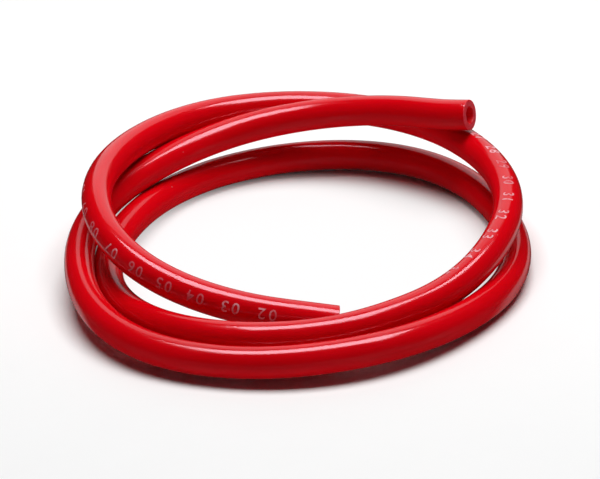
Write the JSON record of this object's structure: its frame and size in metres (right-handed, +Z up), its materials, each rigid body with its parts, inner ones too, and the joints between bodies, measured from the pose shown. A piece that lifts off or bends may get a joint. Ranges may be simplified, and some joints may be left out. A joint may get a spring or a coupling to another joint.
{
  "type": "coiled air hose",
  "caption": "Length of red flexible hose wound by hand into a loose round coil, with a plain bore and bare, square-cut ends.",
  "frame": {"origin": "on the surface that the coil lies on, at the middle of its footprint", "axes": "+Z up out of the surface; +X towards the side that the upper cut end points to; +Y away from the side where the lower cut end lies"},
  "size_m": [0.1411, 0.1516, 0.0335],
  "materials": {
    "hose_wall": "glossy extruded soft plastic, one colour right through"
  },
  "bodies": {
    "root": {"hose_coil": "hose_wall", "upper_free_end": "hose_wall", "lower_free_end": "hose_wall"}
  },
  "joints": []
}
